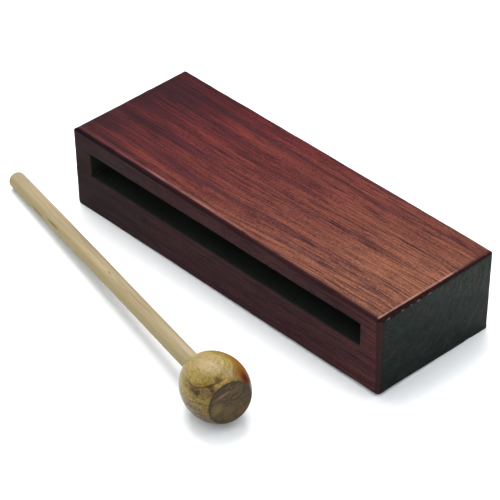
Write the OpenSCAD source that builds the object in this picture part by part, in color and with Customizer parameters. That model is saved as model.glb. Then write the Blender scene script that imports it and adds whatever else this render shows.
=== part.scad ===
// Slotted wood block with a loose ball-headed beater lying in front of it.
// Millimetres. Origin: centre of the block's underside. +X runs along the block's length,
// -Y points out of the slotted front face, and +Z is up.

/* [Block] */
// Length of the block, along X
block_l = 178; // [150:1:210]
// Depth of the block, front face to back face
block_w = 63.2; // [55:0.1:75]
// Height of the block
block_h = 38.2; // [35:0.1:45]
// Round-over along the four long edges
block_edge_r = 1.4; // [0.5:0.1:3]
// Round-over along the eight edges of the two end faces
block_end_r = 1.2; // [0.5:0.1:3]

/* [Slot] */
// Length of the resonance slot, along X
slot_l = 157; // [120:1:160]
// Height of the slot's mouth
slot_h = 10.4; // [6:0.1:12]
// Depth of the slot from the front face
slot_depth = 44; // [30:1:50]
// Height of the slot's centre above the underside
slot_z = 24.75; // [18:0.05:27]
// How far the slot runs out of true, in degrees, rising toward +X
slot_skew = 0.6; // [0:0.02:1.2]

/* [Beater handle] */
// Diameter of the dowel
handle_d = 7.6; // [6:0.1:10]
// Length of dowel from its free end to the middle of the head
handle_reach = 172.7; // [120:0.1:250]
// Rounding of the dowel's free end
handle_end_r = 1.4; // [0.5:0.1:2]
// Depth of the blind socket, measured from the back of the head
socket_depth = 19; // [10:0.5:22]

/* [Beater head] */
// Largest diameter of the turned head
head_d = 26.7; // [22:0.1:34]
// Length that the oval head would have with no striking face cut on it
head_l = 31.9; // [28:0.1:38]
// Radius of the oval's end arcs
head_end_r = 12; // [10:0.1:12.5]
// Distance of the flat striking face from the middle of the head
face_x = 10.9; // [10.5:0.1:13]

/* [Where the beater lies] */
// Middle of the head, along the block's length
head_x = 52.3; // [0:0.1:80]
// Middle of the head, in front of the block's centre line
head_y = -82.8; // [-120:0.1:-60]
// Direction of the beater in plan, in degrees from +X
beater_turn = -13.3; // [-16:0.1:0]

/* [Hidden] */
$fn = 96;
// Overshoot of a cut past the face that it opens
past = 1;

handle_r = handle_d / 2;
head_r = head_d / 2;
// The head's side is one arc, tangent to both end arcs
end_arc_x = head_l / 2 - head_end_r;
head_side_r = (head_r * head_r + end_arc_x * end_arc_x - head_end_r * head_end_r)
    / (2 * (head_r - head_end_r));
side_arc_y = head_side_r - head_r;
tangent_angle = asin(end_arc_x / (head_side_r - head_end_r));
// Steps in each arc of the head's outline
arc_steps = 12;

// The beater rests on the belly of its head and on the rim of its free end, so its axis
// rises toward the head by the angle that puts both of these points on the table.
lie_a = handle_reach - handle_end_r;
lie_b = handle_r - handle_end_r + side_arc_y;
lie_c = head_side_r - handle_end_r;
beater_rise = asin(lie_c / sqrt(lie_a * lie_a + lie_b * lie_b)) - atan2(lie_b, lie_a);
head_z = head_side_r - side_arc_y * cos(beater_rise);

// Rectangle with round corners, centred on X and standing on the X axis
module round_corner_rect(width, height, radius) {
    translate([-width / 2 + radius, 0])
        square([width - 2 * radius, height]);
    translate([-width / 2, radius])
        square([width, height - 2 * radius]);
    for (side = [-1, 1], level = [radius, height - radius])
        translate([side * (width / 2 - radius), level])
            circle(r = radius);
}

// Points along an arc of the head's outline, as [radius, distance along the axis], without
// the arc's last point, where the next arc starts
function arc_points(centre, radius, from, to) =
    [for (i = [0:arc_steps - 1])
        let (angle = from + (to - from) * i / arc_steps)
            [centre[0] + radius * cos(angle), centre[1] + radius * sin(angle)]];

// Half outline of the oval head: three tangent arcs, the flat striking face, and the blind
// socket for the dowel
module head_outline() {
    mouth_angle = -acos(handle_r / head_end_r);
    face_angle = asin((face_x - end_arc_x) / head_end_r);
    socket_floor = -head_l / 2 + socket_depth;
    polygon(concat(
        arc_points([0, -end_arc_x], head_end_r, mouth_angle, -tangent_angle),
        arc_points([-side_arc_y, 0], head_side_r, -tangent_angle, tangent_angle),
        arc_points([0, end_arc_x], head_end_r, tangent_angle, face_angle),
        [[head_end_r * cos(face_angle), face_x], [0, face_x]],
        [[0, socket_floor], [handle_r, socket_floor]]
    ));
}

// Half outline of the dowel: axis along Y, from its rounded free end to the socket's floor
module handle_outline() {
    tip_y = -handle_reach;
    floor_y = -head_l / 2 + socket_depth;
    translate([0, tip_y])
        square([handle_r - handle_end_r, handle_end_r]);
    translate([0, tip_y + handle_end_r])
        square([handle_r, floor_y - tip_y - handle_end_r]);
    intersection() {
        translate([handle_r - handle_end_r, tip_y + handle_end_r])
            circle(r = handle_end_r);
        translate([handle_r - handle_end_r, tip_y])
            square(handle_end_r);
    }
}

// Puts a shape turned about Z, with its middle at the head's middle, where the beater lies
module lay_beater() {
    translate([head_x, head_y, head_z])
        rotate([0, -beater_rise, beater_turn])
            rotate([0, 90, 0])
                children();
}

// The squared block with all twelve edges rounded over
module rounded_block() {
    intersection() {
        rotate([90, 0, 90])
            linear_extrude(block_l, center = true)
                round_corner_rect(block_w, block_h, block_edge_r);
        rotate([90, 0, 0])
            linear_extrude(block_w, center = true)
                round_corner_rect(block_l, block_h, block_end_r);
        translate([0, -block_w / 2, 0])
            linear_extrude(block_h)
                round_corner_rect(block_l, block_w, block_end_r);
    }
}

// One piece of hardwood with a long slot cut into its front face
module block_body() {
    color("#5a2c26")
        difference() {
            rounded_block();
            translate([0, -block_w / 2, slot_z])
                rotate([0, -slot_skew, 0])
                    translate([-slot_l / 2, -past, -slot_h / 2])
                        cube([slot_l, slot_depth + past, slot_h]);
        }
}

module beater_handle() {
    color("#d9c3a0")
        lay_beater()
            rotate_extrude()
                handle_outline();
}

module beater_head() {
    color("#8a6a34")
        lay_beater()
            rotate_extrude()
                head_outline();
}

block_body();
beater_handle();
beater_head();
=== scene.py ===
"""Looks for a slotted wood block and its ball-headed beater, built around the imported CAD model.

Meshes are worked out in millimetres in the model's own frame (X along the block, -Y out of the
slotted front face, Z up) and turned into metres when the object is made. The materials work in
millimetres too.
"""

import math
from types import SimpleNamespace

import bpy
import numpy as np
from mathutils import Matrix, Vector


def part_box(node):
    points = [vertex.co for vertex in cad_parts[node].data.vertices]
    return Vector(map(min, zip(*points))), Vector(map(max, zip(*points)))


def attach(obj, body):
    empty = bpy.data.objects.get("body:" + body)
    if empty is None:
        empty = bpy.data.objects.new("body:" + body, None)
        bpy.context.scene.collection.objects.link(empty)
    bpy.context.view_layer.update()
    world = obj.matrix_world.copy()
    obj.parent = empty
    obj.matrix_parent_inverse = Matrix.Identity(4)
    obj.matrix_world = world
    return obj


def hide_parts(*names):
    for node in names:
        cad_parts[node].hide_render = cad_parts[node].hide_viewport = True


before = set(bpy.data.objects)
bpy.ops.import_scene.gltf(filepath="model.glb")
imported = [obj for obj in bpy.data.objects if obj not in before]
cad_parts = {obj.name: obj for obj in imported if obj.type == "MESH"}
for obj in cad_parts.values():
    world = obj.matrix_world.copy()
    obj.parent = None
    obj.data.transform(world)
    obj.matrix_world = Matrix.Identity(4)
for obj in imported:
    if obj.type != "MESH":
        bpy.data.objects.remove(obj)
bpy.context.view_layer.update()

MM = 0.001

# ---------------------------------------------------------------- sizes read from the frame


def node_points(node):
    """The places of a CAD node's vertices, in millimetres, each place once."""
    points = np.array([v.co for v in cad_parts[node].data.vertices]) / MM
    return np.unique(points.round(3), axis=0)


BLOCK_LOW, BLOCK_HIGH = (np.array(corner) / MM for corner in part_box("block_body"))
BLOCK_SIZE = BLOCK_HIGH - BLOCK_LOW
BLOCK_MID = (BLOCK_HIGH + BLOCK_LOW) / 2


def slot_from_cad():
    """The slot's middle, skew, length, height and depth, from the four corners of its floor."""
    points = node_points("block_body")
    margin = 3
    clear = (points > BLOCK_LOW + margin) & (points < BLOCK_HIGH - margin)
    floor = points[clear.all(axis=1)]
    left = floor[floor[:, 0] < 0]
    right = floor[floor[:, 0] > 0]
    run = right.mean(0) - left.mean(0)
    return {
        "middle": (right.mean(0) + left.mean(0)) / 2,
        "skew": math.atan2(run[2], run[0]),
        "length": float(np.linalg.norm(run)),
        "height": float(np.linalg.norm(left[0] - left[-1])),
        "depth": float(floor[:, 1].mean() - BLOCK_LOW[1]),
    }


def along_and_out(points, start, axis):
    """How far each point is along an axis from its start, and how far out from that axis."""
    along = (points - start) @ axis
    return along, np.linalg.norm(points - start - np.outer(along, axis), axis=1)


def beater_from_cad():
    """The beater's frame, from its free end, and its handle's and head's outlines."""
    handle = node_points("beater_handle")
    middle = handle.mean(0)
    axis = np.linalg.svd(handle - middle, full_matrices=False)[2][0]
    axis = axis * np.sign(axis[0])
    tail = middle + axis * ((handle - middle) @ axis).min()
    handle_along, handle_out = along_and_out(handle, tail, axis)
    head_along, head_out = along_and_out(node_points("beater_head"), tail, axis)
    on_skin = head_out > handle_out.max() + 0.01
    return {
        "axis": axis,
        "tail": tail,
        "handle_r": float(handle_out.max()),
        "socket_floor": float(handle_along.max()),
        "head_face": float(head_along.max()),
        "head_along": head_along[on_skin],
        "head_out": head_out[on_skin],
    }


SLOT = slot_from_cad()
BEATER = beater_from_cad()

# ---------------------------------------------------------------- mesh helpers


def waves(points, size, seed):
    """Smooth noise from -1 to 1 or so, with lumps of about that size, as a sum of plane waves."""
    count = 14
    random = np.random.default_rng(seed)
    directions = random.normal(size=(count, 3))
    directions /= np.linalg.norm(directions, axis=1)[:, None]
    lengths = size * random.uniform(1.2, 3.0, count)
    phases = random.uniform(0, 2 * math.pi, count)
    angles = points @ (directions * (2 * math.pi / lengths)[:, None]).T + phases
    return np.sin(angles).sum(1) * math.sqrt(2 / count) * 0.6


def make_piece(name, points, faces, material, body, replaced, attributes=None):
    """A smooth mesh piece from points in millimetres, riding on a body in place of a CAD node."""
    mesh = bpy.data.meshes.new(name)
    mesh.from_pydata((points * MM).tolist(), [], faces)
    mesh.validate()
    mesh.shade_smooth()
    for key, values in (attributes or {}).items():
        layer = mesh.attributes.new(key, "FLOAT", "POINT")
        layer.data.foreach_set("value", np.asarray(values, np.float32))
    mesh.materials.append(material)
    piece = bpy.data.objects.new(name, mesh)
    bpy.context.scene.collection.objects.link(piece)
    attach(piece, body)
    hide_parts(replaced)


# ---------------------------------------------------------------- the block's mesh

# Round-over of each long edge at its left and right ends
LONG_EDGE_R = {
    ("front", "low"): (0.3, 2.4),
    ("front", "high"): (1.5, 1.5),
    ("back", "low"): (1.2, 1.2),
    ("back", "high"): (1.2, 0.5),
}
# Round-over of each end face's edges: upright ones at their low and high ends, level ones at
# their front and back ends
END_EDGE_R = {
    ("left", "front"): (0.9, 1.2),
    ("left", "back"): (0.8, 1.8),
    ("left", "low"): (2.4, 1.5),
    ("left", "high"): (2.8, 2.4),
    ("right", "front"): (1.6, 2.4),
    ("right", "back"): (1.5, 0.3),
    ("right", "low"): (2.2, 0.2),
    ("right", "high"): (2.0, 0.5),
}
CORNER_BLEND = 3  # an end face's upright and level edges pass into each other over this width
WIDEST_R = 2.4  # the lattice is fine this far in from each edge
MOUTH_R = 0.45  # the slot's softened mouth
LEFT_LEAN = 0.8  # the left end is sawn this far out of square, high edge outwards


def length_of(*parts):
    return np.sqrt(sum(part * part for part in parts))


def box_distance(points, half_size):
    """Signed distance to a box about the origin."""
    over = np.abs(points) - half_size
    return length_of(*np.maximum(over, 0).T) + np.minimum(over.max(1), 0)


def between(pair, share):
    return pair[0] + (pair[1] - pair[0]) * share


def smooth_step(share):
    """0 below 0 and 1 above 1, with a smooth rise between."""
    share = np.clip(share, 0, 1)
    return share * share * (3 - 2 * share)


def nearer_edge_r(radii, first, second, at_first, share):
    """The round-over that share of the way along the nearer of two edges."""
    return np.where(at_first, between(radii[first], share), between(radii[second], share))


def block_outside(points):
    """Signed distance to the rounded block without its slot."""
    from_mid = points - BLOCK_MID
    local = np.abs(from_mid) - BLOCK_SIZE / 2
    share_x, share_y, share_z = np.clip(from_mid / BLOCK_SIZE + 0.5, 0, 1).T
    front, low, left = share_y < 0.5, share_z < 0.5, share_x < 0.5
    long_r = np.where(
        front,
        nearer_edge_r(LONG_EDGE_R, ("front", "low"), ("front", "high"), low, share_x),
        nearer_edge_r(LONG_EDGE_R, ("back", "low"), ("back", "high"), low, share_x),
    )
    ends = []
    for end in ("left", "right"):
        upright = nearer_edge_r(END_EDGE_R, (end, "front"), (end, "back"), front, share_z)
        level = nearer_edge_r(END_EDGE_R, (end, "low"), (end, "high"), low, share_y)
        to_level = smooth_step((local[:, 2] - local[:, 1]) / CORNER_BLEND + 0.5)
        ends.append(between((upright, level), to_level))
    end_r = np.where(left, *ends)
    across = local[:, 1:] + long_r[:, None]
    section = length_of(*np.maximum(across, 0).T) + np.minimum(across.max(1), 0) - long_r
    pair = np.stack([section, local[:, 0]], 1) + end_r[:, None]
    return length_of(*np.maximum(pair, 0).T) + np.minimum(pair.max(1), 0) - end_r


def slot_inside(points):
    """Signed distance to the slot's space, which runs out past the front face."""
    past = 10
    cos, sin = math.cos(SLOT["skew"]), math.sin(SLOT["skew"])
    x = points[:, 0] - SLOT["middle"][0]
    z = points[:, 2] - SLOT["middle"][2]
    y = points[:, 1] - (BLOCK_LOW[1] + (SLOT["depth"] - past) / 2)
    half = np.array([SLOT["length"], SLOT["depth"] + past, SLOT["height"]]) / 2
    return box_distance(np.stack([x * cos + z * sin, y, z * cos - x * sin], 1), half)


def block_distance(points):
    """Signed distance to the slotted block, with its mouth's arris rounded."""
    outside, wall = block_outside(points), -slot_inside(points)
    rounded = length_of(np.maximum(MOUTH_R + outside, 0), np.maximum(MOUTH_R + wall, 0))
    return np.minimum(-MOUTH_R, np.maximum(outside, wall)) + rounded


def slope(distance, points):
    """The unit direction in which a distance grows."""
    step = 0.002
    shifts = np.eye(3) * step
    slopes = np.stack([distance(points + s) - distance(points - s) for s in shifts], 1)
    return slopes / np.maximum(np.linalg.norm(slopes, axis=1), 1e-12)[:, None]


def edge_offsets(radius):
    """Distances from a sharp edge whose points share out the rounded edge evenly."""
    return [radius * (1 - math.tan(math.radians(angle))) for angle in (45, 36, 27, 18, 9, 0)]


def fill(stops, step):
    """The stops in order, and the even steps of about that size between them."""
    stops = sorted(set(round(s, 6) for s in stops))
    lines = []
    for start, stop in zip(stops, stops[1:]):
        count = max(1, round((stop - start) / step))
        lines += list(np.linspace(start, stop, count, endpoint=False))
    return np.array(lines + [stops[-1]])


def block_lattice():
    """Grid lines along X, Y and Z, and where the slot's walls are among them."""
    slot_x = SLOT["length"] / 2 * math.cos(SLOT["skew"])
    slot_z = [SLOT["middle"][2] + side * SLOT["height"] / 2 for side in (-1, 1)]
    slot_y = BLOCK_LOW[1] + SLOT["depth"]
    x_stops, y_stops, z_stops = [], [slot_y], []
    for side in (-1, 1):
        x_stops += [side * (BLOCK_SIZE[0] / 2 - d) for d in edge_offsets(WIDEST_R)]
        x_stops += [side * (slot_x + d) for d in edge_offsets(MOUTH_R)] + [side * slot_x]
        y_stops += [side * (BLOCK_SIZE[1] / 2 - d) for d in edge_offsets(WIDEST_R)]
        z_stops += [BLOCK_MID[2] + side * (BLOCK_SIZE[2] / 2 - d) for d in edge_offsets(WIDEST_R)]
        z_stops += [slot_z[side > 0] + side * d for d in edge_offsets(MOUTH_R)]
    y_stops += [BLOCK_LOW[1] + d for d in edge_offsets(MOUTH_R)]
    lines = [fill(x_stops, 1.1), fill(y_stops, 1.6), fill(z_stops, 1.5)]
    walls = [
        [int(np.abs(lines[0] - side * slot_x).argmin()) for side in (-1, 1)],
        [0, int(np.abs(lines[1] - slot_y).argmin())],
        [int(np.abs(lines[2] - z).argmin()) for z in slot_z],
    ]
    return lines, walls


def block_grid():
    """Points and quads of the slotted block's skin on the lattice, with its edges still sharp."""
    lines, walls = block_lattice()
    cells = [len(line) - 1 for line in lines]
    solid = np.zeros([c + 2 for c in cells], bool)
    solid[1:-1, 1:-1, 1:-1] = True
    solid[
        walls[0][0] + 1 : walls[0][1] + 1,
        walls[1][0] + 1 : walls[1][1] + 1,
        walls[2][0] + 1 : walls[2][1] + 1,
    ] = False
    quads = []
    for axis in range(3):
        one, two = (axis + 1) % 3, (axis + 2) % 3
        step = np.diff(solid.astype(int), axis=axis)
        for place in np.argwhere(step != 0):
            corner = place - 1
            corner[axis] += 1
            ring = [corner.copy() for _ in range(4)]
            ring[1][one] += 1
            ring[2][one] += 1
            ring[2][two] += 1
            ring[3][two] += 1
            if step[tuple(place)] > 0:
                ring.reverse()
            quads.append([tuple(c) for c in ring])
    index = {}
    faces = [[index.setdefault(c, len(index)) for c in quad] for quad in quads]
    places = np.array(list(index))
    points = np.stack([lines[axis][places[:, axis]] for axis in range(3)], 1)
    # The grid lines near the slot follow its skew, and those at the edges run true
    low, high = WIDEST_R, BLOCK_SIZE[2] - WIDEST_R
    slot_low = SLOT["middle"][2] - SLOT["height"] / 2 - MOUTH_R
    slot_high = SLOT["middle"][2] + SLOT["height"] / 2 + MOUTH_R
    follow = np.interp(points[:, 2], [low, slot_low, slot_high, high], [0, 1, 1, 0])
    points[:, 2] += follow * points[:, 0] * math.tan(SLOT["skew"])
    return points, faces


# Knocks on the edges: middle, radius and depth
DENTS = (
    ((12.8, -31.0, 38.0), 2.2, 0.35),
    ((63.0, -31.4, 37.6), 1.8, 0.45),
    ((88.8, -24.0, 37.6), 1.4, 0.30),
    ((88.8, -9.0, 37.8), 1.2, 0.25),
    ((-20.0, -31.4, 37.9), 1.3, 0.20),
    ((-88.6, 12.0, 37.8), 1.6, 0.30),
    ((40.0, 31.4, 0.4), 1.8, 0.30),
    ((88.7, 20.0, 0.5), 1.6, 0.30),
)


def block_piece(material):
    """The slotted block, rounded, worn, dented and a little uneven."""
    points, faces = block_grid()
    for _ in range(8):  # steps onto the rounded surface
        points -= block_distance(points)[:, None] * slope(block_distance, points)
    out = slope(block_distance, points)
    # How far the round-overs have drawn each point in from the sharp-edged block
    sharp = np.maximum(box_distance(points - BLOCK_MID, BLOCK_SIZE / 2), -slot_inside(points))
    edge = np.clip(-sharp / 0.35, 0, 1)
    worn = edge * (0.08 + 0.09 * waves(points, 14, 3) + 0.06 * waves(points, 3.5, 4))
    wavy = 0.03 + 0.03 * waves(points, 22, 5)
    points -= (np.maximum(worn, 0) + wavy)[:, None] * out
    for centre, radius, depth in DENTS:
        near = smooth_step(1 - np.linalg.norm(points - centre, axis=1) / radius)
        points -= (depth * near)[:, None] * out
    in_slot = slot_inside(points) < 0.1
    depth = np.clip((points[:, 1] - BLOCK_LOW[1]) / SLOT["depth"], 0, 1) * in_slot
    to_left = np.clip(-points[:, 0] / BLOCK_HIGH[0], 0, 1)
    points[:, 0] -= LEFT_LEAN * to_left * (points[:, 2] / BLOCK_MID[2] - 1)
    attributes = {"depth": depth}
    make_piece(
        "block_wood", points, faces, material, "block", "block_body", attributes
    )


# ---------------------------------------------------------------- the beater's meshes

ROUND_STEPS = 72


def axis_frame():
    """Matrix from the beater's own frame (X along its axis, from the free end) to the model."""
    x = Vector(BEATER["axis"])
    y = Vector((0, 0, 1)).cross(x).normalized()
    z = x.cross(y)
    turn = Matrix((x, y, z)).transposed().to_4x4()
    return Matrix.Translation(Vector(BEATER["tail"])) @ turn


BEATER_FRAME = axis_frame()
# The head's widest place is the middle of its own frame, and its flat face is this far along
HEAD_MIDDLE = float(BEATER["head_along"][BEATER["head_out"].argmax()])
HEAD_FACE = BEATER["head_face"] - HEAD_MIDDLE
HEAD_RIM = float(BEATER["head_out"][BEATER["head_along"].argmax()])
HEAD_FRAME = BEATER_FRAME @ Matrix.Translation((HEAD_MIDDLE, 0, 0))


def to_model(points):
    """Points from the beater's own frame to the model's."""
    turn = np.array(BEATER_FRAME)[:3, :3]
    return points @ turn.T + np.array(BEATER_FRAME)[:3, 3]


def revolve(outline):
    """Points and faces of an outline of (along, radius) turned about X, its ends on the axis."""
    angles = np.linspace(0, 2 * math.pi, ROUND_STEPS, endpoint=False)
    rings = [
        np.stack([np.full(ROUND_STEPS, a), r * np.cos(angles), r * np.sin(angles)], 1)
        for a, r in outline[1:-1]
    ]
    start, end = outline[0], outline[-1]
    points = np.concatenate([[[start[0], 0, 0]], *rings, [[end[0], 0, 0]]])
    faces, last = [], len(points) - 1
    for s in range(ROUND_STEPS):
        t = (s + 1) % ROUND_STEPS
        faces.append([0, 1 + t, 1 + s])
        for ring in range(len(rings) - 1):
            a = 1 + ring * ROUND_STEPS
            b = a + ROUND_STEPS
            faces.append([a + s, a + t, b + t, b + s])
        top = 1 + (len(rings) - 1) * ROUND_STEPS
        faces.append([top + s, top + t, last])
    return points, faces


def arc(centre, radius, start, stop, steps):
    """Points (along, radius) on an arc, from one angle in degrees to another."""
    angles = np.radians(np.linspace(start, stop, steps + 1))
    return [(centre[0] + radius * math.cos(a), centre[1] + radius * math.sin(a)) for a in angles]


def handle_piece(material):
    """The dowel, its free end rounded, up to the floor of the head's socket."""
    end_r, radius, length = 1.4, BEATER["handle_r"], BEATER["socket_floor"]
    outline = [(0, 0), (0, radius * 0.25), (0, radius - end_r - 0.3)]
    outline += arc((end_r, radius - end_r), end_r, 180, 90, 6)
    outline += [(a, radius) for a in fill([end_r + 0.6, length - 0.3], 1.5)]
    outline += [(length, radius - 0.3), (length, radius * 0.5), (length, 0)]
    points, faces = revolve(outline)
    out = points * [0, 1, 1] / np.maximum(length_of(points[:, 1], points[:, 2]), 1e-6)[:, None]
    points -= out * (0.03 + 0.03 * waves(points * [0.15, 1, 1], 3, 11))[:, None]
    make_piece(
        "handle_wood", to_model(points), faces, material, "beater", "beater_handle"
    )


def head_piece(material):
    """The ball with its flat face and its socket, on a smooth curve through the CAD's outline."""
    fit = np.polynomial.Polynomial.fit(BEATER["head_along"], BEATER["head_out"] ** 2, 8)
    back, face, gap = BEATER["head_along"].min(), BEATER["head_face"], 0.04
    hole = BEATER["handle_r"] + gap
    rim_r = 0.5
    skin = [(a, math.sqrt(fit(a))) for a in fill([back + 0.25, face - rim_r], 0.55)]
    rim = skin[-1][1]
    # Out from the middle of the socket's floor, back along its wall and over its softened mouth,
    # forwards over the skin, and over the face's softened rim to its middle
    floor = BEATER["socket_floor"] + gap
    outline = [(floor, 0), (floor, hole * 0.6)]
    outline += [(a, hole) for a in fill([back + 0.1, floor], 2)[::-1]]
    outline += [(back + 0.06, hole + 0.12)]
    outline += skin
    outline += [(face - 0.22, rim - 0.24), (face - 0.06, rim - 0.42), (face, rim - 0.75)]
    outline += [(face, rim * share) for share in (0.8, 0.6, 0.4, 0.2)]
    outline += [(face, 0)]
    points, faces = revolve(outline)
    make_piece(
        "head_wood", to_model(points), faces, material, "beater", "beater_head"
    )


# ---------------------------------------------------------------- materials

SHADE = 0.75  # the objects' colours are painted this much darker than given, to suit the light


def srgb(red, green, blue):
    """A colour given as it looks on a screen, 0 to 255, as the linear colour that nodes take."""
    parts = [c / 255 for c in (red, green, blue)]
    return (*(c / 12.92 if c <= 0.04045 else ((c + 0.055) / 1.055) ** 2.4 for c in parts), 1)


class Finish:
    """A material being built, with one short call for each kind of node."""

    def __init__(self, name, frame_matrix=None):
        self.material = bpy.data.materials.new(name)
        self.material.use_nodes = True
        self.tree = self.material.node_tree
        self.shader = self.tree.nodes["Principled BSDF"]
        coordinates = self.node("ShaderNodeTexCoord").outputs
        self.normal = coordinates["Normal"]
        place = coordinates["Object"]
        if frame_matrix is not None:
            place = self.node(
                "ShaderNodeMapping",
                {
                    "Vector": place,
                    "Location": frame_matrix.to_translation() * MM,
                    "Rotation": frame_matrix.to_euler(),
                },
                vector_type="TEXTURE",
            ).outputs[0]
        self.place = self.vector("SCALE", place, Scale=1 / MM)

    def node(self, kind, inputs=None, **settings):
        made = self.tree.nodes.new(kind)
        for key, value in settings.items():
            setattr(made, key, value)
        for key, value in (inputs or {}).items():
            self.set(made.inputs[key], value)
        return made

    def set(self, socket, value):
        if isinstance(value, bpy.types.NodeSocket):
            self.tree.links.new(value, socket)
        else:
            socket.default_value = value

    def math(self, operation, *values):
        return self.node("ShaderNodeMath", dict(enumerate(values)), operation=operation).outputs[0]

    def times(self, value, *factors):
        for factor in factors:
            value = self.math("MULTIPLY", value, factor)
        return value

    def vary(self, value, noise, amount):
        """value with up to half the amount added or taken away, as the noise goes."""
        return self.math("MULTIPLY_ADD", self.math("SUBTRACT", noise, 0.5), amount, value)

    def vector(self, operation, *values, **named):
        inputs = {**dict(enumerate(values)), **named}
        made = self.node("ShaderNodeVectorMath", inputs, operation=operation)
        single = operation in ("DOT_PRODUCT", "LENGTH", "DISTANCE")
        return made.outputs["Value" if single else "Vector"]

    def join(self, x, y, z):
        return self.node("ShaderNodeCombineXYZ", {"X": x, "Y": y, "Z": z}).outputs[0]

    def split(self, vector):
        return self.node("ShaderNodeSeparateXYZ", {"Vector": vector}).outputs[:3]

    def shrink(self, vector, size):
        return self.vector("DIVIDE", vector, size if isinstance(size, tuple) else (size,) * 3)

    def noise(self, vector, size, detail=2.0, roughness=0.5):
        """Noise from 0 to 1 whose lumps measure size, one number or three, in millimetres."""
        inputs = {
            "Vector": self.shrink(vector, size),
            "Scale": 1.0,
            "Detail": detail,
            "Roughness": roughness,
        }
        return self.node("ShaderNodeTexNoise", inputs).outputs["Fac"]

    def cells(self, vector, size):
        """Distance to the nearest of some scattered points, which are about size apart."""
        inputs = {"Vector": self.shrink(vector, size), "Scale": 1.0}
        return self.node("ShaderNodeTexVoronoi", inputs).outputs["Distance"]

    def ramp(self, value, low, high, to_low=0.0, to_high=1.0):
        """value taken from low..high to to_low..to_high, smoothly and no further."""
        inputs = {"Value": value, 1: low, 2: high, 3: to_low, 4: to_high}
        return self.node(
            "ShaderNodeMapRange", inputs, interpolation_type="SMOOTHSTEP"
        ).outputs[0]

    def stripe(self, value, middle, near, far, to_near=1.0, to_far=0.0):
        """A ramp of value's distance from the middle: 1 nearer than near, 0 past far."""
        away = self.math("ABSOLUTE", self.math("SUBTRACT", value, middle))
        return self.ramp(away, near, far, to_near, to_far)

    def colors(self, value, *stops):
        """A colour ramp from (position, colour) stops."""
        made = self.node("ShaderNodeValToRGB", {"Fac": value})
        elements = made.color_ramp.elements
        while len(elements) < len(stops):
            elements.new(0.5)
        for element, (position, color) in zip(elements, stops):
            element.position = position
            element.color = color
        return made.outputs["Color"]

    def mix(self, share, under, over, blend="MIX"):
        made = self.node("ShaderNodeMix", data_type="RGBA", blend_type=blend)
        sockets = made.inputs[0], made.inputs[6], made.inputs[7]
        for socket, value in zip(sockets, (share, under, over)):
            self.set(socket, value)
        return made.outputs[2]

    def spot(self, place, centre, sizes, ragged=0.5):
        """A soft-edged ellipsoid, 1 in its middle and 0 outside, with a ragged outline."""
        scaled = self.vector("DIVIDE", place, sizes)
        away = self.vector("DISTANCE", scaled, tuple(c / s for c, s in zip(centre, sizes)))
        away = self.vary(away, self.noise(scaled, 0.5, 2, 0.6), ragged)
        return self.ramp(away, 0.25, 1.0, 1.0, 0.0)

    def marks(self, color, place, ragged, marks):
        """The colour with a spot mixed in for each (centre, sizes, share, colour) of the marks."""
        for centre, sizes, share, mark_color in marks:
            spot = self.spot(place, centre, sizes, ragged)
            color = self.mix(self.times(spot, share), color, srgb(*mark_color))
        return color

    def bump(self, height, distance, strength):
        inputs = {"Height": height, "Distance": distance * MM, "Strength": strength}
        return self.node("ShaderNodeBump", inputs).outputs[0]

    def done(self, color, roughness, normal, specular):
        self.set(self.shader.inputs["Base Color"], color)
        self.set(self.shader.inputs["Roughness"], roughness)
        self.set(self.shader.inputs["Normal"], normal)
        self.shader.inputs["Specular IOR Level"].default_value = specular
        return self.material

    def done_in_shade(self, color, *rest):
        return self.done(self.mix(1.0, color, (SHADE, SHADE, SHADE, 1), "MULTIPLY"), *rest)


PITH_Y, PITH_Z = -30, 42  # the middle of the tree, just above the block's top front edge
ROUND_PITH = 22  # millimetres to a radian of the angle about the pith


def block_rings(f, x, y, z):
    """Coordinates along the fibres, out from the pith and round it.

    The fibres sway a little, and bend back towards the right front.
    """
    bend = f.times(f.ramp(x, -30, 85), f.ramp(y, -30, 32, 6.5, 2.0))
    sway = f.times(f.math("SUBTRACT", f.noise(f.place, (60, 18, 18), 1), 0.5), 3.0)
    from_pith_y = f.math("ADD", f.math("SUBTRACT", y, bend), f.math("SUBTRACT", sway, PITH_Y))
    from_pith_z = f.math("SUBTRACT", z, PITH_Z)
    radius = f.vector("LENGTH", f.join(0, from_pith_y, from_pith_z))
    angle = f.math("ARCTAN2", from_pith_z, from_pith_y)
    return f.join(x, radius, f.times(angle, ROUND_PITH))


def block_grain(f, rings):
    """The patterns of the block's grain, most of them long along the fibres."""
    threads = f.ramp(f.noise(rings, (14, 0.50, 2.5), 1, 0.5), 0.58, 0.66)
    long_threads = f.ramp(f.noise(rings, (48, 0.42, 7), 1, 0.4), 0.60, 0.65)
    ring_lines = f.stripe(f.noise(rings, (75, 2.6, 12), 2, 0.5), 0.5, 0.004, 0.028)
    return SimpleNamespace(
        clouds=f.noise(rings, (55, 7, 14), 2, 0.5),
        bands=f.noise(rings, (85, 2.2, 12), 3, 0.6),
        streaks=f.noise(rings, (22, 0.8, 4), 3, 0.65),
        fibres=f.noise(rings, (7, 0.28, 1.0), 2, 0.6),
        speckle=f.noise(f.place, (1.1, 0.45, 0.45), 2, 0.6),
        threads=f.math("MAXIMUM", threads, long_threads),
        ring_lines=f.times(ring_lines, f.ramp(f.noise(rings, (18, 6, 12), 1), 0.38, 0.55)),
        pores=f.ramp(f.cells(rings, (4.5, 0.5, 0.6)), 0.10, 0.30, 1.0, 0.0),
    )


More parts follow.
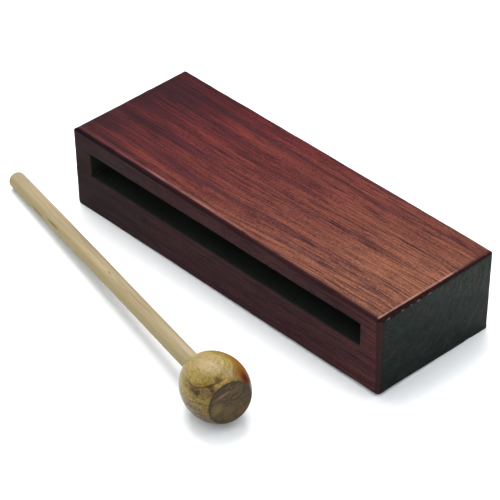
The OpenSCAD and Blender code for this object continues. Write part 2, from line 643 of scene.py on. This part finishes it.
def side_grain_color(f, x, y, grain, front):
    """The stained long faces: purple-red at the left, orange-brown at the right, and a front
    painted darker and greyer as shade.
    """
    tone = f.vary(0.52, grain.bands, 0.9)
    tone = f.vary(tone, grain.clouds, 0.4)
    tone = f.vary(tone, grain.streaks, 1.1)
    tone = f.vary(tone, grain.fibres, 1.1)
    tone = f.vary(tone, grain.speckle, 1.5)
    figure = f.colors(
        tone,
        (0.10, srgb(124, 110, 130)),
        (0.38, srgb(190, 182, 188)),
        (0.60, srgb(224, 224, 221)),
        (0.90, srgb(255, 252, 240)),
    )
    across = f.math("MULTIPLY_ADD", x, 1 / BLOCK_SIZE[0], 0.53)
    across = f.math("MULTIPLY_ADD", y, -0.0050, across)
    stain = f.colors(
        f.vary(across, grain.clouds, 0.35),
        (0.0, srgb(88, 25, 31)),
        (0.25, srgb(110, 42, 41)),
        (0.5, srgb(118, 54, 47)),
        (0.75, srgb(133, 73, 58)),
        (1.0, srgb(153, 96, 73)),
    )
    # Painted shade: the front face, turned away from the light, gets a darker, greyer colour than
    # the top.
    front_across = f.math("MULTIPLY_ADD", x, 1 / BLOCK_SIZE[0], 0.5)
    front_stain_in_shade = f.colors(
        f.vary(front_across, grain.clouds, 0.2),
        (0.08, srgb(58, 48, 48)),
        (0.3, srgb(68, 40, 43)),
        (0.85, srgb(73, 40, 42)),
        (1.0, srgb(92, 48, 47)),
    )
    color = f.mix(1.0, f.mix(front, stain, front_stain_in_shade), figure, "MULTIPLY")
    color = f.mix(f.ramp(grain.bands, 0.44, 0.34, 0.0, 0.4), color, srgb(58, 27, 38))
    color = f.mix(f.times(grain.ring_lines, 0.5), color, srgb(34, 14, 22))
    color = f.mix(f.times(grain.threads, 0.66), color, srgb(30, 13, 22))
    color = f.mix(f.times(grain.pores, 0.45), color, srgb(30, 13, 18))
    # Darker near the left end, and darkest at its top front corner
    left_darkening = f.ramp(f.vary(f.vary(x, grain.bands, 60), grain.clouds, 90), -94, -48, 0.8, 0.0)
    corner = f.spot(f.place, (-89, -32, 38), (30, 9, 20), 0.8)
    left_darkening = f.math("MAXIMUM", left_darkening, f.times(corner, 0.8))
    return f.mix(left_darkening, color, srgb(38, 13, 17))


def end_grain_color(f, y, z, rings, grain):
    """The nearly black end grain, with teal and reddish patches, vessels and a darker top."""
    tone = f.math("MULTIPLY_ADD", y, 0.003, f.vary(grain.streaks, grain.fibres, 0.5))
    tone = f.math("MULTIPLY_ADD", z, 0.004, f.math("SUBTRACT", tone, 0.08))
    color = f.colors(
        tone, (0.25, srgb(5, 8, 7)), (0.5, srgb(24, 31, 28)), (0.8, srgb(60, 63, 57))
    )
    teal = f.ramp(f.noise(f.place, (9, 6, 6), 2), 0.52, 0.70, 0.0, 0.5)
    color = f.mix(teal, color, srgb(22, 46, 44))
    reddish = f.ramp(f.noise(rings, (9, 2.5, 9), 2), 0.53, 0.70, 0.0, 0.5)
    color = f.mix(reddish, color, srgb(50, 36, 32))
    color = f.mix(f.times(grain.ring_lines, 0.35), color, srgb(8, 10, 10))
    dots = f.ramp(f.cells(rings, (6, 0.9, 1.3)), 0.12, 0.40, 0.7, 0.0)
    color = f.mix(dots, color, srgb(8, 10, 10))
    vessels = f.ramp(f.noise(rings, (6, 0.7, 2.6), 2), 0.60, 0.70, 0.0, 0.75)
    color = f.mix(vessels, color, srgb(6, 8, 8))
    top_gap = f.math("SUBTRACT", BLOCK_HIGH[2], z)
    under_edge = f.math("MULTIPLY_ADD", f.noise(f.place, (4, 5, 3), 2), 3.0, top_gap)
    return f.mix(f.ramp(under_edge, 2.0, 4.6, 0.75, 0.0), color, srgb(14, 12, 15))


def shade_round_overs(f, color, x, steep_x, steep_y, steep_z, normal_z):
    """Round-overs painted dark as shade: darker towards the left, darkest where the top turns over
    the ends, less dark on edges turning sideways or down.
    """
    steepest = f.math("MAXIMUM", f.math("MAXIMUM", steep_x, steep_y), steep_z)
    rounded = f.ramp(steepest, 0.955, 0.999, 1.0, 0.0)
    dark = f.mix(f.ramp(x, -80, 60), srgb(12, 1, 4), srgb(42, 18, 20))
    dark = f.mix(f.ramp(steep_x, 0.2, 0.5), dark, srgb(12, 1, 4))
    dark = f.mix(f.ramp(normal_z, 0.25, 0.05), dark, srgb(43, 26, 28))
    return f.mix(f.times(rounded, 0.92), color, dark)


def top_edge_highlights_and_lines(f, color, x, y, z):
    """Painted highlights: pale lines just inside the top's front and right edges and pale specks
    just below the right one; also darker strips just inside those edges and a dark line near the
    back.
    """
    top_gap = f.math("SUBTRACT", BLOCK_HIGH[2], z)
    front_gap = f.math("SUBTRACT", y, BLOCK_LOW[1])
    back_gap = f.math("SUBTRACT", BLOCK_HIGH[1], y)
    end_gap = f.math("SUBTRACT", BLOCK_HIGH[0], x)
    on_top = f.ramp(top_gap, 0.1, 0.35, 1.0, 0.0)

    # Painted highlight: a pale line just inside the top's front edge, where it turns over,
    # strongest left of the middle.
    patches = f.ramp(f.noise(f.place, (14, 3, 3), 2), 0.35, 0.6, 0.3, 1.0)
    run = f.stripe(x, -18, 5, 42, 0.6, 0.06)
    highlight_line = f.times(f.stripe(front_gap, 2.2, 0.2, 0.7), patches, run, on_top)
    color = f.mix(highlight_line, color, srgb(158, 118, 114))
    dark_strip = f.times(f.ramp(front_gap, 3.2, 1.8), f.ramp(x, -5, 45, 0.0, 0.45), on_top)
    color = f.mix(dark_strip, color, srgb(58, 30, 34))

    # Painted glints: pale specks on the right end just below its top arris, towards the front.
    patches = f.times(f.ramp(f.noise(f.place, (4, 3.0, 40), 1), 0.52, 0.66), f.ramp(y, 8, -8))
    glint_specks = f.times(f.stripe(top_gap, 1.4, 0.1, 0.35), patches, f.ramp(end_gap, 0.1, 0.8, 1, 0))
    color = f.mix(f.times(glint_specks, 0.5), color, srgb(150, 136, 138))
    # Painted highlight: a pale line just inside the top's right edge, towards the front.
    highlight_line = f.stripe(f.math("MULTIPLY_ADD", y, 0.010, end_gap), 1.7, 0.15, 0.6)
    patches = f.ramp(f.noise(f.place, (4, 9, 40), 2), 0.38, 0.56, 0.2, 0.5)
    highlight_line = f.times(highlight_line, patches, f.ramp(y, 8, 18, 1.0, 0.1), on_top)
    color = f.mix(highlight_line, color, srgb(176, 140, 132))
    dark_strip = f.times(f.ramp(end_gap, 2.4, 1.0), f.ramp(y, 6, 20, 0.0, 0.8), on_top)
    color = f.mix(dark_strip, color, srgb(50, 24, 26))

    scored = f.times(f.stripe(back_gap, 3.4, 0.25, 0.8), f.ramp(x, 30, 60, 0.0, 0.6), on_top)
    return f.mix(scored, color, srgb(92, 38, 34))


def shade_slot(f, color, x, z, steep_x):
    """Painted shade: the slot is painted nearly black inside, darker with depth, and the front face
    just below its mouth is painted darker.
    """
    over_lip = f.math("MULTIPLY_ADD", x, -math.tan(SLOT["skew"]), z)
    over_lip = f.math("SUBTRACT", over_lip, SLOT["middle"][2] - SLOT["height"] / 2)
    # Painted shade on the front face just below the slot's mouth, with a ragged lower edge.
    lip_shade_low = f.math("MULTIPLY_ADD", f.noise(f.place, (30, 3, 3), 2), 1.6, -1.9)
    lip_shade = f.times(
        f.ramp(f.math("SUBTRACT", over_lip, lip_shade_low), 0.0, 1.0, 0.0, 0.7),
        f.ramp(over_lip, 2.0, 1.0),
        f.ramp(f.math("ABSOLUTE", x), SLOT["length"] / 2, SLOT["length"] / 2 - 1.0),
    )
    color = f.mix(lip_shade, color, srgb(34, 32, 31))
    # Painted shade inside the slot, part dark at the mouth and nearly black a little way in.
    depth = f.node("ShaderNodeAttribute", attribute_name="depth").outputs["Fac"]
    # Painted shade: the slot's two end walls are painted less dark than its floor and roof, as they
    # catch more light
    deep = f.times(depth, f.math("MULTIPLY_ADD", steep_x, -0.7, 1.0))
    inside = f.times(f.ramp(deep, -0.01, 0.022, 0.4, 0.99), f.math("GREATER_THAN", depth, 0.002))
    return f.mix(inside, color, srgb(34, 37, 34))


def block_wood():
    """Straight-grained hardwood under a dark red-brown stain, sawn close to the pith."""
    f = Finish("block_wood")
    x, y, z = f.split(f.place)
    normals = f.split(f.normal)
    steep_x, steep_y, steep_z = (f.math("ABSOLUTE", part) for part in normals)
    rings = block_rings(f, x, y, z)
    grain = block_grain(f, rings)
    color = f.mix(
        f.ramp(steep_x, 0.90, 0.96),
        side_grain_color(f, x, y, grain, f.ramp(normals[1], -0.50, -0.95)),
        end_grain_color(f, y, z, rings, grain),
    )
    color = shade_round_overs(f, color, x, steep_x, steep_y, steep_z, normals[2])
    color = top_edge_highlights_and_lines(f, color, x, y, z)
    color = shade_slot(f, color, x, z, steep_x)

    relief = f.math("MULTIPLY_ADD", grain.streaks, 0.5, f.times(grain.threads, -0.6))
    relief = f.math("MULTIPLY_ADD", grain.fibres, 0.4, relief)
    relief = f.math("ADD", relief, f.times(grain.pores, -0.5))
    rough = f.ramp(grain.streaks, 0.3, 0.7, 0.36, 0.50)
    rough = f.math("MULTIPLY_ADD", grain.threads, 0.15, rough)
    return f.done_in_shade(color, rough, f.bump(relief, 0.06, 0.5), 0.04)


# Each mark: its middle and sizes in millimetres, its share of the colour, and its colour
HANDLE_MARKS = (
    ((28, -3.79, 0.33), (7.5, 0.55, 0.7), 0.75, (78, 70, 46)),
    ((42, -3.42, 1.67), (7.5, 0.6, 0.6), 0.8, (92, 76, 44)),
    ((88.5, -1.05, 3.65), (2.2, 0.35, 0.35), 0.8, (96, 80, 44)),
    ((112, -0.66, 3.74), (16, 0.22, 0.25), 0.6, (128, 84, 52)),
    ((101, -2.3, 3.0), (10, 0.25, 0.3), 0.35, (140, 100, 64)),
)
HEAD_MARKS = (
    ((8.8, -3.4, 10.4), (2.2, 1.9, 2.0), 0.75, (76, 52, 24)),
    ((8.7, -6.8, 8.6), (1.6, 2.4, 1.2), 0.85, (62, 34, 14)),
    ((10.1, -6.7, 7.6), (1.6, 1.3, 1.3), 0.85, (56, 36, 14)),
    ((3.4, -11.4, 5.8), (2.6, 2.2, 1.3), 0.8, (66, 44, 22)),
    ((5.8, -10.9, 5.6), (1.9, 1.9, 2.2), 0.85, (48, 34, 14)),
    ((8.7, -8.9, 6.3), (2.2, 2.0, 1.8), 0.5, (112, 98, 74)),
    ((3.6, -12.8, 1.0), (1.3, 1.0, 1.0), 0.7, (112, 62, 62)),
    ((9.2, -10.2, -3.4), (3.0, 3.0, 2.0), 0.6, (96, 66, 34)),
    ((3.6, 8.6, 9.6), (9.0, 5.0, 6.5), 0.9, (140, 90, 26)),
    ((8.0, 6.6, 8.8), (4.5, 4.5, 4.0), 0.8, (122, 72, 22)),
    ((9.6, 8.0, 6.8), (4.4, 3.2, 4.6), 0.95, (84, 26, 22)),
)
FACE_MARKS = (
    ((0, -6.0, 0.8), (9, 4.5, 4.0), 0.7, (104, 88, 46)),
    ((0, -0.4, -3.4), (9, 5.5, 4.0), 0.6, (92, 74, 38)),
    ((0, -3.0, 5.3), (9, 4.6, 1.0), 0.8, (116, 80, 62)),
    ((0, 2.6, 4.4), (9, 4.5, 1.8), 0.6, (88, 66, 44)),
    ((0, 5.2, -7.0), (9, 3.5, 3.0), 0.7, (88, 52, 28)),
    ((0, -1.6, -7.4), (9, 4.0, 1.6), 0.6, (92, 60, 30)),
    ((0, 7.4, -1.7), (9, 2.6, 3.4), 0.5, (58, 50, 30)),
    ((0, -3.9, -3.9), (9, 1.8, 1.4), 0.7, (50, 46, 30)),
)


def handle_wood():
    """A pale close-grained dowel, bare and sanded, with a few dark mineral streaks."""
    f = Finish("handle_wood", BEATER_FRAME)
    figure = f.noise(f.place, (45, 1.6, 2.6), 3, 0.55)
    fibres = f.noise(f.place, (9, 0.3, 0.3), 2, 0.6)
    flecks = f.ramp(f.cells(f.place, (4.5, 0.5, 0.5)), 0.08, 0.2, 1.0, 0.0)
    color = f.colors(
        f.vary(figure, fibres, 0.5),
        (0.3, srgb(146, 130, 101)),
        (0.5, srgb(163, 146, 116)),
        (0.7, srgb(177, 158, 128)),
    )
    # Painted shade: the handle's lower front side, turned from the light, is painted darker and
    # greener.
    under = f.vector("DOT_PRODUCT", f.place, (0, -0.8, -0.6))
    color = f.mix(f.ramp(under, -2.0, 1.6, 0.0, 0.8), color, srgb(146, 132, 92))
    color = f.mix(f.times(flecks, 0.3), color, srgb(112, 90, 60))
    color = f.marks(color, f.place, 0.5, HANDLE_MARKS)
    normal = f.bump(f.math("SUBTRACT", fibres, flecks), 0.03, 0.5)
    return f.done_in_shade(color, f.ramp(fibres, 0.3, 0.7, 0.5, 0.62), normal, 0.12)


def head_skin_color(f, x, y, z, layer, fine, mottle):
    """The turned ball's side: flat growth layers, a knot and red heartwood, with painted shade low
    down and a crackled painted highlight on top.
    """
    tone = f.noise(f.join(x, y, layer), (16, 16, 1.1), 3, 0.6)
    tone = f.vary(f.vary(tone, fine, 0.4), mottle, 0.9)
    # Painted shade: the tone grows lighter up through the layers, darker towards the face on the
    # upper half, and darker low down.
    tone = f.math("MULTIPLY_ADD", layer, 0.024, f.math("SUBTRACT", tone, 0.165))
    tone = f.math("SUBTRACT", tone, f.times(f.ramp(x, 1, 9, 0.0, 0.16), f.ramp(z, 0, 5)))
    tone = f.math("SUBTRACT", tone, f.ramp(z, 5, -2, 0.0, 0.11))
    color = f.colors(
        tone,
        (0.10, srgb(66, 48, 16)),
        (0.35, srgb(110, 90, 38)),
        (0.60, srgb(146, 126, 62)),
        (0.85, srgb(174, 152, 92)),
    )
    golden = f.ramp(f.noise(f.place, 4.0, 2, 0.6), 0.48, 0.62, 0.0, 0.2)
    color = f.mix(golden, color, srgb(156, 118, 48))
    greyish = f.ramp(f.noise(f.place, (3, 5, 2.2), 2, 0.6), 0.52, 0.66, 0.0, 0.4)
    color = f.mix(greyish, color, srgb(124, 112, 84))
    # One dark ring shows on the near side, above the knot, with blotches below it
    ring = f.times(f.stripe(layer, 10.0, 0.1, 0.45), f.ramp(y, 0.0, -5.0, 0.0, 0.8))
    color = f.mix(f.times(ring, f.ramp(x, -5.0, 1.0)), color, srgb(66, 42, 12))
    below = f.times(f.stripe(layer, 8.7, 0.4, 1.6), f.ramp(y, -3.0, -8.0, 0.0, 0.7))
    blotches = f.ramp(f.noise(f.place, 1.5, 2, 0.6), 0.42, 0.58)
    color = f.mix(f.times(below, f.ramp(x, -1.0, 3.0), blotches), color, srgb(84, 58, 28))
    # Painted highlight: a pale, crackled spot high on the ball, where the light reflects.
    crackle = f.ramp(f.cells(f.place, 1.2), 0.35, 0.60, 0.85, 0.35)
    highlight_spot = f.spot(f.place, (-0.4, -3.6, 12.4), (9.0, 7.5, 5.0), 0.5)
    color = f.mix(f.times(highlight_spot, crackle), color, srgb(168, 144, 108))
    rays = f.ramp(f.noise(f.place, (5, 0.8, 5), 2), 0.35, 0.65, 0.25, 0.9)
    fan = f.spot(f.place, (8.0, 1.6, 11.0), (4.0, 3.2, 3.0), 0.4)
    color = f.mix(f.times(fan, rays), color, srgb(152, 132, 96))
    return f.marks(color, f.place, 1.1, HEAD_MARKS)


def head_face_color(f, x, y, z, mottle):
    """The flat striking face: darker, with slanting streaks and a dark rim."""
    slanted = f.join(x, y, f.math("MULTIPLY_ADD", y, -0.3, z))
    color = f.colors(
        f.vary(f.noise(slanted, (5, 7, 1.2), 3, 0.65), mottle, 0.9),
        (0.25, srgb(33, 23, 6)),
        (0.50, srgb(59, 45, 19)),
        (0.78, srgb(94, 70, 38)),
    )
    color = f.marks(color, f.vector("MULTIPLY", slanted, (0, 1, 1)), 1.1, FACE_MARKS)
    out = f.vector("LENGTH", f.join(0, y, z))
    rim = f.ramp(out, HEAD_RIM - 1.6, HEAD_RIM - 0.4, 0.0, 0.6)
    return f.mix(rim, color, srgb(50, 40, 20))


def head_wood():
    """A turned hardwood ball under yellowed varnish."""
    f = Finish("head_wood", HEAD_FRAME)
    x, y, z = f.split(f.place)
    sway = f.times(f.math("SUBTRACT", f.noise(f.place, 8, 1), 0.5), 1.6)
    layer = f.math("ADD", f.vector("DOT_PRODUCT", f.place, (-0.036, -0.278, 0.96)), sway)
    fine = f.noise(f.join(x, y, layer), (5, 5, 0.35), 2, 0.6)
    mottle = f.noise(f.place, 0.9, 2, 0.6)
    color = f.mix(
        f.ramp(x, HEAD_FACE - 0.12, HEAD_FACE - 0.04),
        head_skin_color(f, x, y, z, layer, fine, mottle),
        head_face_color(f, x, y, z, mottle),
    )
    normal = f.bump(f.math("ADD", fine, mottle), 0.03, 0.4)
    return f.done_in_shade(color, f.ramp(fine, 0.3, 0.7, 0.28, 0.40), normal, 0.16)


# ---------------------------------------------------------------- stage, lights and camera


def floor_paper():
    f = Finish("floor_paper")
    mottle = f.noise(f.place, 3, 3)
    color = f.colors(mottle, (0.3, (0.87, 0.87, 0.87, 1)), (0.7, (0.89, 0.89, 0.89, 1)))
    return f.done(color, 0.9, f.bump(mottle, 0.05, 0.1), 0.1)


def area_light(name, place, target, size, power, color):
    light = bpy.data.lights.new(name, "AREA")
    light.shape = "RECTANGLE"
    light.size, light.size_y = size
    light.energy = power
    light.color = color
    lamp = bpy.data.objects.new(name, light)
    lamp.location = place
    lamp.rotation_euler = (Vector(target) - Vector(place)).to_track_quat("-Z", "Y").to_euler()
    bpy.context.scene.collection.objects.link(lamp)


def build_stage():
    """A pale floor that curves up into a wall all round, far outside the lights."""
    flat_r, curve_r, wall_top = 1.6, 1.2, 2.6  # metres
    curve_steps, around = 12, 64
    outline = [(0.0, 0.0), (0.4, 0.0), (flat_r, 0.0)]
    outline += [
        (flat_r + curve_r * math.sin(a), curve_r * (1 - math.cos(a)))
        for a in np.linspace(0, math.pi / 2, curve_steps + 1)[1:]
    ]
    outline.append((flat_r + curve_r, wall_top))
    points = [(0, 0, 0)]
    for r, z in outline[1:]:
        for s in range(around):
            a = 2 * math.pi * s / around
            points.append((r * math.cos(a), r * math.sin(a), z))
    faces = [(0, 1 + s, 1 + (s + 1) % around) for s in range(around)]
    for ring in range(len(outline) - 2):
        a = 1 + ring * around
        for s in range(around):
            t = (s + 1) % around
            faces.append((a + s, a + around + s, a + around + t, a + t))
    mesh = bpy.data.meshes.new("floor")
    mesh.from_pydata(points, [], faces)
    mesh.shade_smooth()
    mesh.materials.append(floor_paper())
    floor = bpy.data.objects.new("floor", mesh)
    bpy.context.scene.collection.objects.link(floor)


def build_light():
    world = bpy.data.worlds.new("studio")
    world.use_nodes = True
    background = world.node_tree.nodes["Background"]
    background.inputs["Color"].default_value = (0.93, 0.97, 1.0, 1)
    background.inputs["Strength"].default_value = 1.5
    bpy.context.scene.world = world
    area_light(
        "key",
        place=(-0.55, 0.35, 1.4),
        target=(0, 0, 0),
        size=(1.0, 0.8),
        power=24,
        color=(1.0, 0.98, 0.95),
    )


AZIMUTH, ELEVATION, ROLL = 46.502, 37.432, -0.133  # degrees
CAMERA_DISTANCE = 1.0771
CAMERA_SHIFT = (-0.01077, 0.00501)  # metres, to the right and up
LENS = 188.04


def build_camera():
    a, e, roll = (math.radians(v) for v in (AZIMUTH, ELEVATION, ROLL))
    back = Vector((math.sin(a) * math.cos(e), -math.cos(a) * math.cos(e), math.sin(e)))
    right = Vector((0, 0, 1)).cross(back).normalized()
    up = back.cross(right)
    right, up = (
        right * math.cos(roll) + up * math.sin(roll),
        up * math.cos(roll) - right * math.sin(roll),
    )
    data = bpy.data.cameras.new("camera")
    data.lens = LENS
    data.sensor_width = 36
    data.clip_start, data.clip_end = 0.05, 20
    camera = bpy.data.objects.new("camera", data)
    place = back * CAMERA_DISTANCE + right * CAMERA_SHIFT[0] + up * CAMERA_SHIFT[1]
    turn = Matrix((right, up, back)).transposed().to_4x4()
    camera.matrix_world = Matrix.Translation(place) @ turn
    bpy.context.scene.collection.objects.link(camera)
    bpy.context.scene.camera = camera


block_piece(block_wood())
handle_piece(handle_wood())
head_piece(head_wood())
build_stage()
build_light()
build_camera()
bpy.context.scene.view_settings.view_transform = "Standard"
